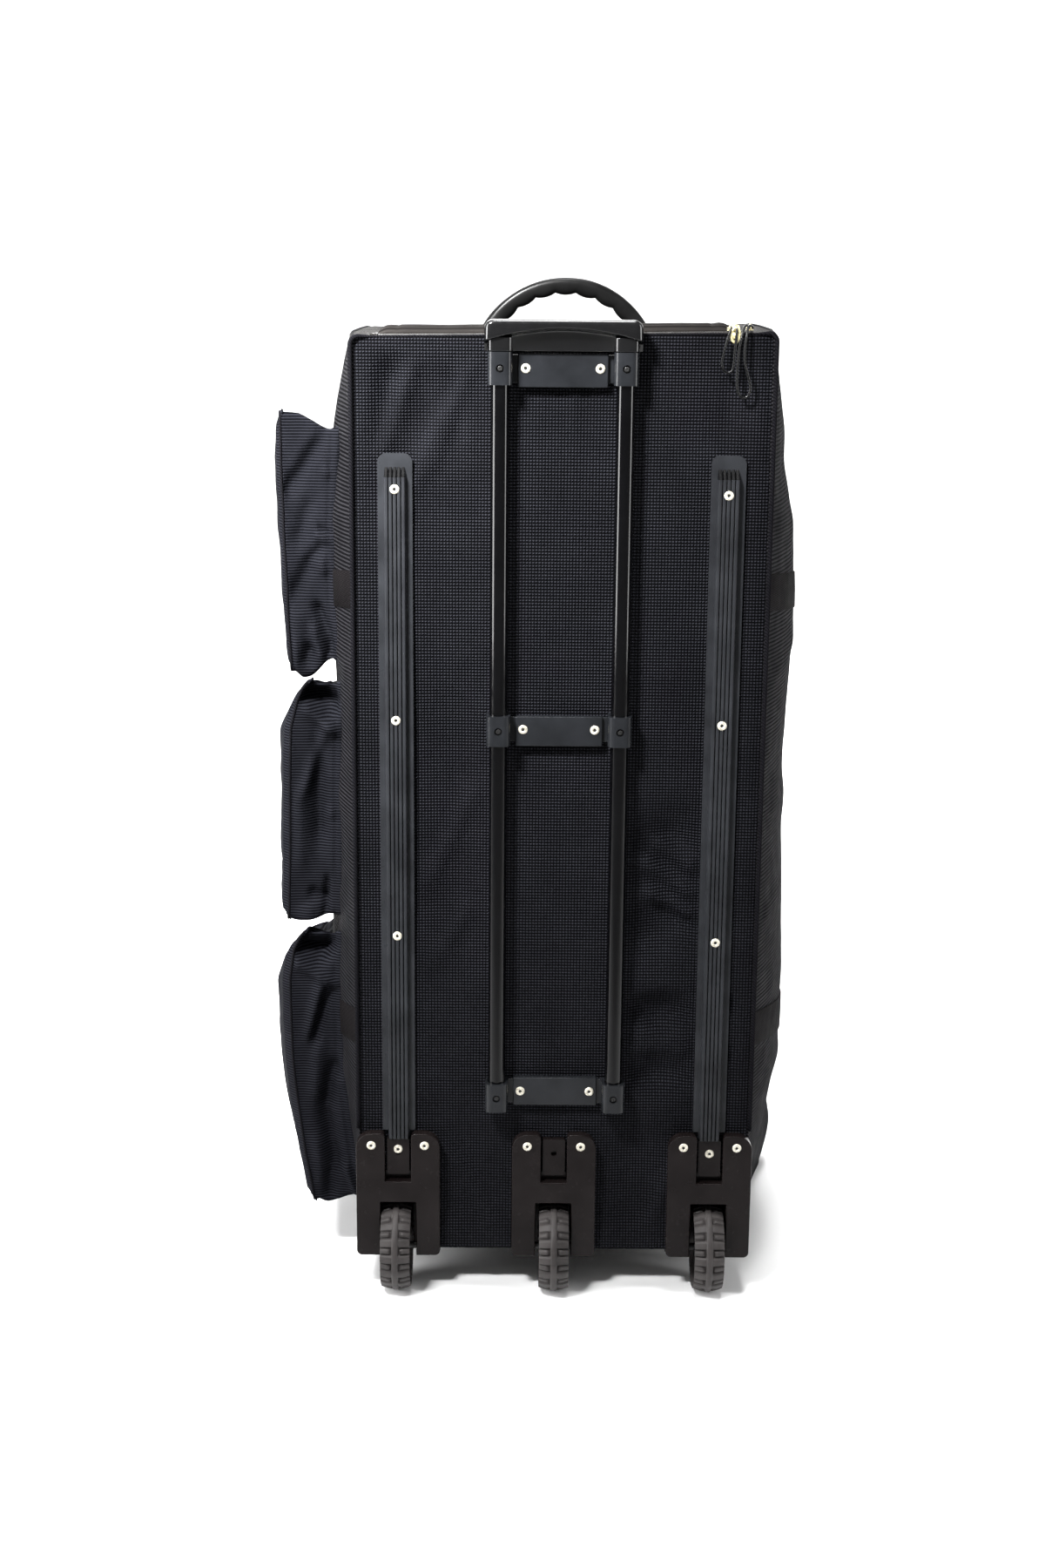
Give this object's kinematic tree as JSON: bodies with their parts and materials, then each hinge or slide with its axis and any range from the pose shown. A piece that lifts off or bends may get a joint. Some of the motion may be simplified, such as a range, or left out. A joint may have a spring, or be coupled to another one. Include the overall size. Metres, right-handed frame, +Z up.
{
  "type": "wheeled kit bag",
  "caption": "Tall soft kit bag standing on a row of wheels, with side pockets, skid rails, a grab handle on top and a pull-out trolley handle on its back panel.",
  "frame": {"origin": "bottom centre of the whole bag's box, on the floor under the bag", "axes": "+Z up; the trolley panel with the wheels faces -Y; the side pockets are on the -X side"},
  "size_m": [0.6062, 0.4608, 1.112],
  "materials": {
    "panel_cloth": "waffle-weave coated cloth, charcoal black",
    "side_cloth": "fine ribbed cloth, black",
    "pocket_cloth": "satin ribbed cloth, blue-black",
    "webbing": "flat woven webbing, black",
    "piping": "bound piping, black",
    "zip": "zip tape and coil, brown-black",
    "slider_metal": "pale gold plated",
    "cord": "braided cord, black",
    "soft_grip": "moulded soft rubber, black",
    "gloss_plastic": "moulded plastic, semi-gloss black",
    "satin_plastic": "moulded plastic, satin dark grey",
    "housing_plastic": "moulded plastic, satin brown-black",
    "tube_black": "gloss black tube",
    "tyre_rubber": "matte dark grey rubber",
    "hub_plastic": "moulded plastic, black",
    "axle_steel": "plain steel pin"
  },
  "bodies": {
    "bag": {"trolley_panel": "panel_cloth", "left_side_panel": "side_cloth", "right_side_panel": "side_cloth", "front_panel": "side_cloth", "top_end_panel": "side_cloth", "bottom_end_panel": "side_cloth", "panel_piping": "piping", "upper_pocket": "pocket_cloth", "middle_pocket": "pocket_cloth", "lower_pocket": "pocket_cloth", "upper_strap": "webbing", "lower_strap": "webbing", "upper_strap_stub": "webbing", "lower_strap_stub": "webbing", "top_flap": "side_cloth", "top_zip": "zip", "near_slider": "slider_metal", "far_slider": "slider_metal", "near_pull": "cord", "far_pull": "cord", "grab_handle": "soft_grip", "left_outer_tube": "tube_black", "right_outer_tube": "tube_black", "top_bracket": "satin_plastic", "middle_bracket": "satin_plastic", "bottom_bracket": "satin_plastic", "left_skid_rail": "satin_plastic", "right_skid_rail": "satin_plastic", "left_wheel_housing": "housing_plastic", "centre_wheel_housing": "housing_plastic", "right_wheel_housing": "housing_plastic", "left_axle": "axle_steel", "centre_axle": "axle_steel", "right_axle": "axle_steel"},
    "trolley": {"trolley_grip": "gloss_plastic", "left_inner_tube": "tube_black", "right_inner_tube": "tube_black"},
    "left_wheel": {"left_tyre": "tyre_rubber", "left_hub": "hub_plastic"},
    "centre_wheel": {"centre_tyre": "tyre_rubber", "centre_hub": "hub_plastic"},
    "right_wheel": {"right_tyre": "tyre_rubber", "right_hub": "hub_plastic"}
  },
  "joints": [
    {"name": "trolley_slide", "type": "slide", "parent": "bag", "child": "trolley", "axis": [0, 0, 1], "range_m": [0, 0.4]},
    {"name": "left_wheel_spin", "type": "hinge", "parent": "bag", "child": "left_wheel", "pos_m": [-0.15275, -0.18046, 0.05], "axis": [1, 0, 0], "continuous": true},
    {"name": "centre_wheel_spin", "type": "hinge", "parent": "bag", "child": "centre_wheel", "pos_m": [0.02025, -0.18046, 0.05], "axis": [1, 0, 0], "continuous": true},
    {"name": "right_wheel_spin", "type": "hinge", "parent": "bag", "child": "right_wheel", "pos_m": [0.19325, -0.18046, 0.05], "axis": [1, 0, 0], "continuous": true}
  ]
}
